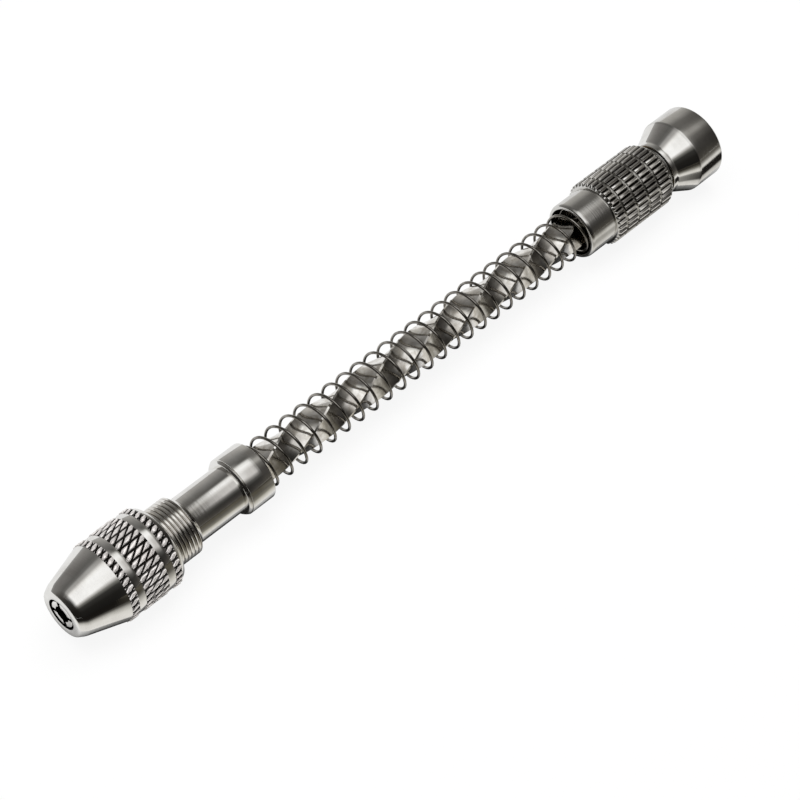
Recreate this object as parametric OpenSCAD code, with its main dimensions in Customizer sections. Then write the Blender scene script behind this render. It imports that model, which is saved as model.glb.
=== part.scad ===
// Spiral push drill with a pin vise chuck, lying along X with its nose at -X.
// Millimetres. The origin is under the middle of the tool, on the surface that it lies on.

/* [Chuck cap] */
// Length from the nose face to the rear edge
cap_len = 20.2; // [19:0.1:24]
// Diameter over the knurled bands
cap_d = 15.2; // [14.6:0.1:18]
// Diameter of the nose where its cone starts
nose_d = 10.3; // [9.6:0.1:12]
// Diameter of the flat nose face
nose_face_d = 8.8; // [7.6:0.1:9.4]
// Depth of the bevel around the nose face
nose_edge = 1.35; // [0.6:0.05:2]
// Length from the nose face to the end of the cone
nose_len = 8.7; // [7:0.1:9]
// Width of the knurled band next to the cone
front_band = 1.5; // [1:0.1:2]
// Width of the middle knurled band
mid_band = 4.8; // [4:0.1:5.4]
// Width of the two smooth grooves between the bands
groove_w = 1.5; // [1:0.1:1.6]
// Depth of the smooth grooves
groove_depth = 0.2; // [0.1:0.05:0.4]
// Length of the bevel at the rear edge
cap_bevel = 0.9; // [0.4:0.1:1.2]
// Height of that bevel
cap_bevel_h = 0.7; // [0.3:0.1:1]
// Diameter of the hole in the nose face
hole_d = 5.8; // [5.4:0.1:6.2]
// Length of the straight part of that hole
hole_land = 0.6; // [0.4:0.1:1]
// Empty length of the cap's bore in front of the threaded head
head_room = 1.6; // [1:0.1:2]

/* [Collet] */
// Length of the collet
collet_len = 24; // [20:0.5:25]
// Diameter of the collet's tapered head where it is widest
collet_head_d = 7.2; // [6.8:0.1:7.8]
// Length of the tapered head
collet_head_len = 5.6; // [4.5:0.1:6.5]
// Diameter of the collet's shank
collet_d = 6; // [5.6:0.1:6.4]
// Diameter of the bore that grips a bit
bit_bore_d = 3; // [2:0.1:3.4]
// Width of the four slots between the jaws
slot_w = 0.6; // [0.4:0.05:0.8]
// Length of the slots
slot_len = 13; // [9:0.5:16]
// Turn of the slots about the tool's axis, in degrees
slot_turn = 76; // [0:1:90]
// How far the jaws' tips lie behind the nose face
collet_sink = 0.35; // [0.2:0.05:0.6]

/* [Chuck body] */
// Outside diameter of the thread
thread_d = 11; // [10.6:0.1:11.6]
// Pitch of the thread
thread_pitch = 0.75; // [0.5:0.05:1]
// Depth of the thread
thread_depth = 0.4; // [0.25:0.05:0.5]
// Width of the flat on a thread's crest
crest_w = 0.1; // [0.05:0.01:0.2]
// Length of thread that shows behind the cap
thread_show = 6.1; // [5:0.1:8]
// Length of the cone that ends the thread
thread_runout = 1.4; // [0.8:0.1:2]
// Distance from the nose face to the front of the threaded head
head_setback = 9; // [8:0.1:10]
// Diameter of the smooth stem
stem_d = 8.8; // [8.4:0.1:9.6]
// Length of the stem between thread and collar
stem_show = 9.9; // [8:0.1:14]
// Empty length of bore behind the collet
collet_room = 1.2; // [1:0.1:2]

/* [Spring collar] */
// Diameter of the collar
collar_d = 11; // [10.4:0.1:12.4]
// Length of the collar
collar_len = 5.6; // [4.6:0.1:8]
// Bevel at the collar's front edge
collar_bevel = 0.5; // [0.2:0.05:0.8]
// Diameter of the stem's spigot inside the collar
spigot_d = 7.8; // [7.4:0.1:8.2]
// Diameter of the cross pin that holds the shaft
pin_d = 1.5; // [1:0.1:2]

/* [Spiral shaft] */
// Width across the flats of the twisted square shaft
shaft_w = 4.85; // [4.75:0.05:5]
// Width across its blunted corners
shaft_corner_d = 6.45; // [6.3:0.05:6.8]
// Length of the shaft in which it twists once round
shaft_lead = 50; // [40:1:70]
// Turn of the shaft's edges where it leaves the collar, in degrees
shaft_turn = 46; // [0:1:90]
// Diameter of the tenon in the stem
tenon_d = 4.6; // [4:0.1:4.7]
// Length of that tenon
tenon_len = 9; // [7:0.5:12]
// Diameter of the journal that carries the knob
journal_d = 4; // [3.6:0.1:4.4]

/* [Return spring] */
// Outside diameter of the coil
spring_d = 8.9; // [8.6:0.05:9.1]
// Diameter of the wire
wire_d = 0.45; // [0.4:0.05:0.7]
// Distance from coil to coil
spring_pitch = 3.35; // [2.8:0.05:5]
// Turn of the coil's front end about the axis, in degrees
spring_turn = 106; // [0:1:359]
// Length of spring between the collar and the grip
spring_show = 78.7; // [60:0.1:100]
// Length of spring inside the grip
spring_inset = 4.2; // [3:0.1:5]
// Thickness of the washer that the spring pushes on
washer_t = 0.6; // [0.4:0.1:1]

/* [Grip] */
// Diameter of the smooth tube in front of the knurl
tube_d = 11.1; // [10.9:0.05:11.6]
// Wall of that tube
tube_wall = 0.75; // [0.6:0.05:0.8]
// Length of tube that shows
tube_show = 6.3; // [5:0.1:9]
// Length of the rounded lip at the tube's mouth
lip_len = 1.3; // [0.6:0.1:2]
// Diameter over the knurled sleeve
sleeve_d = 12.9; // [12.6:0.1:14.4]
// Length of the sleeve
sleeve_len = 15.4; // [15:0.1:20]
// Number of straight teeth around the sleeve
tooth_count = 36; // [24:1:48]
// Depth of the teeth
tooth_depth = 0.35; // [0.2:0.05:0.45]
// Height of the sharp crest that is turned off each tooth
tooth_trim = 0.08; // [0.04:0.01:0.15]
// Number of ring grooves across the teeth
ring_count = 4; // [1:1:4]
// Distance from ring groove to ring groove
ring_pitch = 3.1; // [2.4:0.1:3.3]
// Width of a ring groove
ring_w = 0.45; // [0.3:0.05:0.8]
// Depth of a ring groove below the teeth
ring_depth = 0.1; // [0.05:0.01:0.2]
// Length of the sleeve in front of the first ring groove
ring_start = 2.1; // [1.6:0.1:2.6]
// Bevel at the sleeve's rear edge
sleeve_bevel = 0.9; // [0.4:0.1:1.2]
// Height of that bevel
sleeve_bevel_h = 0.65; // [0.3:0.05:0.8]
// Length of the nut that runs on the spiral shaft
nut_len = 6; // [4:0.1:7]
// Diameter of the three pins that hold the nut
nut_pin_d = 1.2; // [0.8:0.1:1.6]
// Depth of those pins in the nut
nut_pin_bite = 0.6; // [0.4:0.1:0.9]
// Length of the guide bush at the sleeve's rear
guide_len = 3.5; // [2.5:0.1:4]

/* [Knob] */
// Diameter of the knob
knob_d = 14.7; // [14:0.1:18]
// Length of the knob
knob_len = 11.5; // [11:0.1:16]
// Diameter of the knob's neck
neck_d = 10.6; // [9.6:0.1:11.6]
// Length of the neck
neck_len = 1.1; // [0.6:0.1:1.6]
// Length of the cone behind the neck
knob_cone_len = 3.8; // [3:0.1:4.6]
// Bevel at the knob's edges
knob_edge = 0.4; // [0.2:0.05:0.6]
// Thickness of the thrust washer between grip and knob
thrust_t = 0.8; // [0.6:0.1:1.4]
// Diameter of the thrust washer
thrust_d = 9.8; // [9:0.1:10.4]
// Outside diameter of the bush in the knob
bush_d = 6.4; // [6:0.1:7]
// Length of that bush
bush_len = 5.5; // [4.5:0.1:6]
// Diameter of the pocket behind the bush
pocket_d = 10.4; // [9.8:0.1:11]
// Thickness of the disc that closes the pocket
disc_t = 1.2; // [0.8:0.1:1.6]
// Thickness of the washer under the screw
keeper_t = 0.5; // [0.4:0.1:0.8]
// Diameter of the washer under the screw
keeper_d = 8; // [7:0.1:9]
// Diameter of the screw in the journal
screw_d = 2.4; // [2:0.1:2.6]
// Length of screw in the journal
screw_len = 5; // [4:0.1:8]
// Diameter of the screw's head
screw_head_d = 4.4; // [4:0.1:5]
// Height of the screw's head
screw_head_len = 1.4; // [1:0.1:1.6]
// Width of the slot in the screw's head
screw_slot_w = 0.6; // [0.4:0.05:0.9]

/* [Fits] */
// Clearance all round between turning or sliding pieces
run_gap = 0.05; // [0.02:0.01:0.08]
// Clearance between the shaft and the nut
nut_gap = 0.12; // [0.08:0.01:0.2]
// Clearance at faces that pass or stop each other
face_gap = 0.15; // [0.1:0.01:0.3]
// Clearance between the collet's head and the cap
seat_gap = 0.1; // [0.06:0.01:0.15]

/* [Hidden] */
$fn = 96;
overcut = 1;
helix_sides = 6;
helix_steps = 12;
twist_step = 1;
lip_steps = 6;
end_turns = 1;
nut_pin_count = 3;

thrust_gap = 2 * face_gap + thrust_t;
grip_len = tube_show + sleeve_len;
tool_len = cap_len + thread_show + stem_show + collar_len + spring_show + grip_len + thrust_gap + knob_len;
axis_h = max(cap_d, sleeve_d, knob_d) / 2;

nose_x = -tool_len / 2;
cap_rear_x = nose_x + cap_len;
thread_end_x = cap_rear_x + thread_show;
collar_x = thread_end_x + stem_show;
collar_rear_x = collar_x + collar_len;
mouth_x = collar_rear_x + spring_show;
sleeve_x = mouth_x + tube_show;
sleeve_rear_x = sleeve_x + sleeve_len;
shaft_end_x = sleeve_rear_x + face_gap;
knob_x = sleeve_rear_x + thrust_gap;
knob_rear_x = knob_x + knob_len;

collet_x = nose_x + collet_sink;
collet_rear_x = collet_x + collet_len;
collet_head_x = collet_x + collet_head_len;
head_x = nose_x + head_setback;
seat_r = collet_head_d / 2 + seat_gap;
washer_x = mouth_x + spring_inset;
nut_x = washer_x + washer_t + run_gap;
nut_pin_x = sleeve_x + nut_pin_d;
guide_x = sleeve_rear_x - guide_len;
tube_bore_r = tube_d / 2 - tube_wall;
journal_end_x = knob_x + bush_len + face_gap;
keeper_rear_x = journal_end_x + keeper_t;

// Points of an outline are [radius, place along X].
module turned(outline) {
    translate([0, 0, axis_h]) rotate([0, 90, 0]) rotate_extrude() polygon(outline);
}

module along(x) {
    translate([x, 0, axis_h]) rotate([0, 90, 0]) children();
}

module ring(outer_d, inner_d, x, len) {
    along(x) difference() {
        cylinder(d = outer_d, h = len);
        translate([0, 0, -overcut]) cylinder(d = inner_d, h = len + 2 * overcut);
    }
}

// Square section with blunted corners, grown by a clearance.
function shaft_section(grow) =
    let (flat = shaft_w / 2 + grow, cut = (shaft_corner_d / 2 + grow) * sqrt(2) - flat)
    [[flat, -cut], [flat, cut], [cut, flat], [-cut, flat],
        [-flat, cut], [-flat, -cut], [-cut, -flat], [cut, -flat]];

// The shaft twists as a left-hand screw, so a push toward the nose turns it clockwise.
module twisted_bar(from_x, to_x, grow) {
    twist_from = 360 * (from_x - collar_rear_x) / shaft_lead;
    along(from_x)
        rotate(shaft_turn + 45 - twist_from)
            linear_extrude(
                height = to_x - from_x,
                twist = 360 * (to_x - from_x) / shaft_lead,
                slices = ceil((to_x - from_x) / twist_step),
                $fn = len(shaft_section(grow))
            )
                polygon(shaft_section(grow));
}

module chuck_cap() {
    cap_r = cap_d / 2;
    groove_r = cap_r - groove_depth;
    cone_x = nose_x + nose_len;
    groove_1 = cone_x + front_band;
    band_2 = groove_1 + groove_w;
    groove_2 = band_2 + mid_band;
    band_3 = groove_2 + groove_w;
    thread_r = thread_d / 2 + run_gap;
    bore_x = head_x - head_room;
    color("silver") difference() {
        turned([
            [0, nose_x], [nose_face_d / 2, nose_x], [nose_d / 2, nose_x + nose_edge],
            [groove_r, cone_x], [cap_r, cone_x], [cap_r, groove_1], [groove_r, groove_1],
            [groove_r, band_2], [cap_r, band_2], [cap_r, groove_2], [groove_r, groove_2],
            [groove_r, band_3], [cap_r, band_3], [cap_r, cap_rear_x - cap_bevel],
            [cap_r - cap_bevel_h, cap_rear_x], [0, cap_rear_x]
        ]);
        turned([
            [0, nose_x - overcut], [hole_d / 2, nose_x - overcut], [hole_d / 2, nose_x + hole_land],
            [seat_r, collet_head_x], [seat_r, bore_x], [thread_r, bore_x],
            [thread_r, cap_rear_x + overcut], [0, cap_rear_x + overcut]
        ]);
    }
}

module collet() {
    tip_r = hole_d / 2 - seat_gap;
    color("lightgray") difference() {
        turned([
            [bit_bore_d / 2, collet_x], [tip_r, collet_x], [tip_r, nose_x + hole_land],
            [collet_head_d / 2, collet_head_x], [collet_d / 2, collet_head_x],
            [collet_d / 2, collet_rear_x], [bit_bore_d / 2, collet_rear_x]
        ]);
        for (turn = [slot_turn, slot_turn + 90])
            along(collet_x - overcut)
                rotate(turn)
                    translate([-collet_head_d, -slot_w / 2, 0])
                        cube([2 * collet_head_d, slot_w, slot_len + overcut]);
    }
}

module chuck_body() {
    crest_r = thread_d / 2;
    root_r = crest_r - thread_depth;
    full_end_x = thread_end_x - thread_runout;
    first_x = head_x + thread_depth;
    turns = floor((full_end_x - first_x) / thread_pitch);
    teeth = [
        for (i = [0:turns - 1]) each [
            [crest_r, first_x + i * thread_pitch],
            [root_r, first_x + i * thread_pitch + (thread_pitch - crest_w) / 2],
            [crest_r, first_x + (i + 1) * thread_pitch - crest_w]
        ]
    ];
    color("silver") difference() {
        turned(concat(
            [[0, head_x], [root_r, head_x]],
            teeth,
            [[crest_r, full_end_x], [stem_d / 2, thread_end_x], [stem_d / 2, collar_x],
                [spigot_d / 2, collar_x], [spigot_d / 2, collar_rear_x], [0, collar_rear_x]]
        ));
        along(head_x - overcut)
            cylinder(d = collet_d + 2 * run_gap, h = collet_rear_x + collet_room - head_x + overcut);
        along(collar_rear_x - tenon_len) cylinder(d = tenon_d, h = tenon_len + overcut);
        shaft_pin_shape(pin_d, spigot_d + 2 * overcut);
    }
}

module spring_collar() {
    collar_r = collar_d / 2;
    color("gainsboro") turned([
        [spigot_d / 2, collar_x], [collar_r - collar_bevel, collar_x], [collar_r, collar_x + collar_bevel],
        [collar_r, collar_rear_x], [spigot_d / 2, collar_rear_x]
    ]);
}

module shaft_pin_shape(d, len) {
    translate([collar_x + collar_len / 2, 0, axis_h - len / 2]) cylinder(d = d, h = len);
}

module shaft_pin() {
    color("dimgray") shaft_pin_shape(pin_d, spigot_d - 2 * run_gap);
}

module spiral_shaft() {
    color("darkgray") difference() {
        union() {
            twisted_bar(collar_rear_x, shaft_end_x, 0);
            along(collar_rear_x - tenon_len) cylinder(d = tenon_d, h = tenon_len + overcut);
            along(shaft_end_x - overcut) cylinder(d = journal_d, h = journal_end_x - shaft_end_x + overcut);
        }
        shaft_pin_shape(pin_d, spigot_d);
        along(journal_end_x - screw_len) cylinder(d = screw_d, h = screw_len + overcut);
    }
}

// A right-hand coil with one closed turn at each end.
module return_spring() {
    coil_r = (spring_d - wire_d) / 2;
    from_x = collar_rear_x + wire_d / 2 + run_gap;
    to_x = washer_x - wire_d / 2 - run_gap;
    end_len = end_turns * (wire_d + run_gap);
    open_turns = (to_x - from_x - 2 * end_len) / spring_pitch;
    turns = open_turns + 2 * end_turns;
    rings = ceil(turns * helix_steps);
    function place(turn) =
        turn < end_turns ? from_x + turn / end_turns * end_len :
        turn > turns - end_turns ? to_x - (turns - turn) / end_turns * end_len :
        from_x + end_len + (turn - end_turns) * spring_pitch;
    points = [
        for (i = [0:rings], k = [0:helix_sides - 1])
            let (turn = turns * i / rings, side = 360 * k / helix_sides,
                reach = coil_r + wire_d / 2 * cos(side), angle = spring_turn + 360 * turn)
            [place(turn) + wire_d / 2 * sin(side), reach * cos(angle), axis_h + reach * sin(angle)]
    ];
    sides = [
        for (i = [0:rings - 1], k = [0:helix_sides - 1])
            let (a = i * helix_sides + k, b = i * helix_sides + (k + 1) % helix_sides)
            each [[a, b, b + helix_sides], [a, b + helix_sides, a + helix_sides]]
    ];
    first = [for (k = [helix_sides - 1:-1:0]) k];
    last = [for (k = [0:helix_sides - 1]) rings * helix_sides + k];
    color("dimgray") polyhedron(points, concat(sides, [first, last]));
}

module spring_washer() {
    color("silver") ring(
        2 * (tube_bore_r - face_gap), shaft_corner_d + 2 * face_gap, washer_x, washer_t
    );
}

module grip_tube() {
    tube_r = tube_d / 2;
    lip = [
        for (i = [0:lip_steps])
            let (turn = 90 * i / lip_steps)
            [tube_bore_r + tube_wall * sin(turn), mouth_x + lip_len * (1 - cos(turn))]
    ];
    color("lightslategray") difference() {
        turned(concat(lip, [[tube_r, guide_x], [tube_bore_r, guide_x]]));
        for (i = [1:nut_pin_count]) nut_pin_shape(i);
    }
}

module nut_pin_shape(i) {
    pin_depth = tube_wall + nut_pin_bite;
    along(nut_pin_x)
        rotate(360 / nut_pin_count * i)
            translate([tube_d / 2 - pin_depth, 0, 0])
                rotate([0, 90, 0])
                    cylinder(d = nut_pin_d, h = pin_depth - run_gap);
}

module nut_pin(i) {
    color("dimgray") nut_pin_shape(i);
}

module drive_nut() {
    color("goldenrod") difference() {
        along(nut_x) cylinder(r = tube_bore_r, h = nut_len);
        twisted_bar(nut_x - overcut, nut_x + nut_len + overcut, nut_gap);
        for (i = [1:nut_pin_count]) nut_pin_shape(i);
    }
}

module grip_sleeve() {
    sleeve_r = sleeve_d / 2;
    root_r = sleeve_r - tooth_depth;
    ring_r = root_r - ring_depth;
    tip_r = sleeve_r + tooth_trim;
    tooth_step = 360 / tooth_count;
    star = [
        for (i = [0:tooth_count - 1]) each [
            tip_r * [cos(i * tooth_step), sin(i * tooth_step)],
            root_r * [cos((i + 0.5) * tooth_step), sin((i + 0.5) * tooth_step)]
        ]
    ];
    rings = [
        for (i = [0:ring_count - 1])
            let (x = sleeve_x + ring_start + i * ring_pitch)
            each [[sleeve_r, x], [ring_r, x], [ring_r, x + ring_w], [sleeve_r, x + ring_w]]
    ];
    color("slategray") difference() {
        intersection() {
            along(sleeve_x - overcut) linear_extrude(height = sleeve_len + 2 * overcut) polygon(star);
            turned(concat(
                [[0, sleeve_x], [sleeve_r, sleeve_x]],
                rings,
                [[sleeve_r, sleeve_rear_x - sleeve_bevel],
                    [sleeve_r - sleeve_bevel_h, sleeve_rear_x], [0, sleeve_rear_x]]
            ));
        }
        along(sleeve_x - overcut) cylinder(d = tube_d, h = sleeve_len + 2 * overcut);
    }
}

module rear_guide() {
    color("goldenrod") ring(tube_d, shaft_corner_d + 2 * face_gap, guide_x, guide_len);
}

module thrust_washer() {
    color("silver") ring(thrust_d, journal_d, shaft_end_x, thrust_t);
}

module end_knob() {
    knob_r = knob_d / 2;
    cone_x = knob_x + neck_len;
    rim_x = cone_x + knob_cone_len;
    pocket_x = knob_x + bush_len;
    color("gray") difference() {
        turned([
            [0, knob_x], [neck_d / 2, knob_x], [neck_d / 2, cone_x], [knob_r - knob_edge / 2, rim_x],
            [knob_r, rim_x + knob_edge], [knob_r, knob_rear_x - knob_edge],
            [knob_r - knob_edge, knob_rear_x], [0, knob_rear_x]
        ]);
        along(knob_x - overcut) cylinder(d = bush_d, h = bush_len + 2 * overcut);
        along(pocket_x) cylinder(d = pocket_d, h = knob_len - bush_len + overcut);
    }
}

module knob_bush() {
    color("goldenrod") ring(bush_d, journal_d + 2 * run_gap, knob_x, bush_len);
}

module knob_keeper() {
    color("silver") ring(keeper_d, screw_d, journal_end_x, keeper_t);
}

module knob_screw() {
    color("dimgray") {
        along(journal_end_x - screw_len) cylinder(d = screw_d, h = screw_len + keeper_t);
        difference() {
            along(keeper_rear_x) cylinder(d = screw_head_d, h = screw_head_len);
            along(keeper_rear_x + screw_head_len / 2)
                translate([-screw_head_d, -screw_slot_w / 2, 0])
                    cube([2 * screw_head_d, screw_slot_w, screw_head_len]);
        }
    }
}

module end_disc() {
    color("silver") along(knob_rear_x - disc_t) cylinder(d = pocket_d, h = disc_t);
}

chuck_cap();
collet();
chuck_body();
spring_collar();
shaft_pin();
spiral_shaft();
return_spring();
spring_washer();
grip_tube();
drive_nut();
for (i = [1:nut_pin_count]) nut_pin(i);
grip_sleeve();
rear_guide();
thrust_washer();
end_knob();
knob_bush();
knob_keeper();
knob_screw();
end_disc();
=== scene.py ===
"""Looks of the pin vise drill: a push drill with a twisted shaft, a return spring and a collet chuck.

The tool lies on a white table. Sizes are millimetres along and around the tool's axis, and every mesh is
moved to metres in the frame's own place at the end.
"""

import logging
import math
from dataclasses import dataclass
from enum import Enum
from typing import Any

import bmesh
import bpy
from bmesh.types import BMesh, BMEdge, BMVert
from bpy.types import Material, Node, NodeTree, Object
from mathutils import Matrix, Vector


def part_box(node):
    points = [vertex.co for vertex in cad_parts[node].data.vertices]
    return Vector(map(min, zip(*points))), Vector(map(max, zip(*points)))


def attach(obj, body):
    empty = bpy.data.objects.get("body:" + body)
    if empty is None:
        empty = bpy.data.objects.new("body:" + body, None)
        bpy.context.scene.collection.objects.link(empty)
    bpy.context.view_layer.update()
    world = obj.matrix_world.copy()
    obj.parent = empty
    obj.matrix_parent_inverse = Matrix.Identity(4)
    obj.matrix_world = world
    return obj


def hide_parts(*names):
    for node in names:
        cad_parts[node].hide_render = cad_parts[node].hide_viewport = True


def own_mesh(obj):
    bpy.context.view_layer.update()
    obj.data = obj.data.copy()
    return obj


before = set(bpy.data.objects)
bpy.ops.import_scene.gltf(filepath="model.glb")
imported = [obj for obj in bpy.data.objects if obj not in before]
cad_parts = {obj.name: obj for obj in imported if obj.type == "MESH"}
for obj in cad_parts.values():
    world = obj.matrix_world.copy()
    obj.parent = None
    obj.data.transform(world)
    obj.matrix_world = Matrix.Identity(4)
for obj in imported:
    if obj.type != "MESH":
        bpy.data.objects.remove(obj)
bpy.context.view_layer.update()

LOG = logging.getLogger("drill")
MM = 0.001
AXIS = Vector((1.0, 0.0, 0.0))
FULL_TURN = 2 * math.pi
LATHE_STEPS = 144
ROUND_STEPS = 3
MERGE_MM = 1e-4
SHARP_DEG = 32.0
# Share of a face's normal that points to the axis, from which on the face counts as inside.
INWARD = 0.3
# Roundings of edges in millimetres, from barely broken to soft.
BROKEN, CRISP, FINE, EASED, SOFT, ROUND = 0.05, 0.08, 0.1, 0.12, 0.15, 0.2


@dataclass(frozen=True)
class Span:
    """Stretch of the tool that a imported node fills.

    Args:
        front: Place of its end nearest the nose, in millimetres along the axis.
        rear: Place of its other end.
        radius: Its outer radius.
    """

    front: float
    rear: float
    radius: float

    @property
    def length(self) -> float:
        """Length along the axis."""
        return self.rear - self.front


def span(node: str) -> Span:
    """Reads a node's stretch from the frame.

    Args:
        node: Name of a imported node.

    Returns:
        Its stretch, in millimetres.
    """
    low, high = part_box(node)
    return Span(low.x / MM, high.x / MM, (high.y - low.y) / 2 / MM)


AXIS_HEIGHT = sum(corner.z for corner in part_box("chuck_cap")) / 2 / MM


class Slot(Enum):
    """Names of the record's material slots, one for each kind of dressed piece."""

    PLATE = "bright_plate"
    COLLET = "collet_steel"
    SHAFT = "drawn_steel"
    WIRE = "dark_wire"
    GRIP = "grip_steel"


class Body(Enum):
    """Bodies of the frame that pieces ride on."""

    SPINDLE = "spindle"
    COLLET = "collet"
    CAP = "chuck_cap"
    GRIP = "grip"
    KNOB = "knob"


def linear(colour: str) -> tuple[float, float, float, float]:
    """Turns an sRGB hex colour to linear light.

    Args:
        colour: Six hex digits.

    Returns:
        Red, green, blue and an alpha of one.
    """
    parts = [int(colour[i:i + 2], 16) / 255 for i in (0, 2, 4)]
    light = [p / 12.92 if p <= 0.04045 else ((p + 0.055) / 1.055) ** 2.4 for p in parts]
    return light[0], light[1], light[2], 1.0


def add_node(tree: NodeTree, kind: str, inputs: dict[Any, Any] | None = None, **settings: Any) -> Node:
    """Adds a node, with its settings, its values and its links.

    Args:
        tree: Node tree that takes it.
        kind: Node type, without the ShaderNode in front.
        inputs: Value or output socket for each input, by name or number.
        **settings: Attributes of the node.

    Returns:
        The new node.
    """
    node = tree.nodes.new("ShaderNode" + kind)
    for name, value in settings.items():
        setattr(node, name, value)
    for key, value in (inputs or {}).items():
        if isinstance(value, bpy.types.NodeSocket):
            tree.links.new(value, node.inputs[key])
        else:
            node.inputs[key].default_value = value
    return node


def new_material(name: str) -> tuple[Material, NodeTree]:
    """Makes an empty node material.

    Args:
        name: Its name.

    Returns:
        The material and its node tree.
    """
    material = bpy.data.materials.new(name)
    material.use_nodes = True
    material.node_tree.nodes.clear()
    return material, material.node_tree


def ring_coordinates(tree: NodeTree) -> tuple[Any, Any, Any]:
    """Gives the coordinates that a lathe works in, in millimetres.

    Args:
        tree: Node tree that takes the nodes.

    Returns:
        Sockets for the point on the centred piece, for its radius, and for its place along a cut.
    """
    place = add_node(tree, "TexCoord").outputs["Object"]
    centred = add_node(tree, "Mapping", {
        "Vector": place, "Location": (0.0, 0.0, -AXIS_HEIGHT), "Scale": (1 / MM, 1 / MM, 1 / MM),
    }).outputs["Vector"]
    across = add_node(tree, "VectorMath", {0: centred, 1: (0.0, 1.0, 1.0)}, operation="MULTIPLY")
    radius = add_node(tree, "VectorMath", {0: across.outputs["Vector"]}, operation="LENGTH").outputs["Value"]
    parts = add_node(tree, "SeparateXYZ", {"Vector": centred})
    cut = add_node(tree, "Math", {0: parts.outputs["X"], 1: radius}, operation="ADD").outputs["Value"]
    return centred, radius, cut


@dataclass(frozen=True)
class TurnedMetal:
    """A lathe-turned metal surface, plain or plated.

    The tool leaves fine rings around the axis, which draw reflections out along the tool, and handling
    leaves faint cloudy patches. Deep places are darkened with painted shade.

    Args:
        name: Common name of the metal and its finish.
        colour: Colour of the clean metal, sRGB hex.
        stain: Colour of the cloudy patches.
        roughness: Lowest and highest roughness.
        ring_mm: Spacing of the tool's rings, drawn coarser than a real feed so that they show.
        ring_depth_mm: Depth of those rings.
        ring_stain: How much of the stain follows the rings.
        cloud_mm: Size of the patches.
        recess_shade: Colour of the painted shade in deep places.
        full_shade_r: Radius at and below which the painted shade is full, or nothing for no painted shade.
        unshaded_r: Radius at which the painted shade is gone.
        mirror: Share of the light that the metal mirrors; a skin of fine scuffs scatters the rest.
    """

    name: str
    colour: str
    stain: str
    roughness: tuple[float, float]
    ring_mm: float = 0.4
    ring_depth_mm: float = 0.002
    ring_stain: float = 0.35
    cloud_mm: float = 3.0
    recess_shade: str = "1C1A17"
    full_shade_r: float | None = None
    unshaded_r: float = 0.0
    mirror: float = 1.0

    def build(self) -> Material:
        """Makes the material.

        Returns:
            The new material.
        """
        material, tree = new_material(self.name)
        centred, radius, cut = ring_coordinates(tree)
        rings = add_node(tree, "TexNoise", {
            "W": cut, "Scale": 1 / self.ring_mm, "Detail": 3.0, "Roughness": 0.6,
        }, noise_dimensions="1D").outputs["Fac"]
        clouds = add_node(tree, "TexNoise", {
            "Vector": centred, "Scale": 1 / self.cloud_mm, "Detail": 4.0, "Roughness": 0.55,
        }).outputs["Fac"]
        cloudy = add_node(tree, "MapRange", {
            "Value": clouds, "From Min": 0.35, "From Max": 0.75, "To Min": 0.0, "To Max": 1.0,
        }).outputs["Result"]
        ringed = add_node(tree, "MapRange", {
            "Value": rings, "From Min": 0.35, "From Max": 0.65, "To Min": 1 - self.ring_stain, "To Max": 1.0,
        }).outputs["Result"]
        stained = add_node(tree, "Math", {0: cloudy, 1: ringed}, operation="MULTIPLY").outputs["Value"]
        colour = add_node(tree, "Mix", {
            "Factor": stained, 6: linear(self.colour), 7: linear(self.stain),
        }, data_type="RGBA").outputs[2]
        # Painted shade: the colour darkens toward the shade colour from the unshaded radius down into the deep
        # places.
        if self.full_shade_r is not None:
            depth = add_node(tree, "MapRange", {
                "Value": radius, "From Min": self.full_shade_r, "From Max": self.unshaded_r, "To Min": 1.0, "To Max": 0.0,
            }, interpolation_type="SMOOTHSTEP").outputs["Result"]
            colour = add_node(tree, "Mix", {
                "Factor": depth, 6: colour, 7: linear(self.recess_shade),
            }, data_type="RGBA").outputs[2]
        wear = add_node(tree, "Math", {0: rings, 1: cloudy}, operation="MULTIPLY").outputs["Value"]
        rough = add_node(tree, "MapRange", {
            "Value": wear, "From Min": 0.1, "From Max": 0.6,
            "To Min": self.roughness[0], "To Max": self.roughness[1],
        }).outputs["Result"]
        bump = add_node(tree, "Bump", {
            "Strength": 1.0, "Distance": self.ring_depth_mm * MM, "Height": rings,
        }).outputs["Normal"]
        shader = add_node(tree, "BsdfPrincipled", {
            "Base Color": colour, "Metallic": self.mirror, "Roughness": rough, "Normal": bump,
        })
        add_node(tree, "OutputMaterial", {"Surface": shader.outputs["BSDF"]})
        return material


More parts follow.
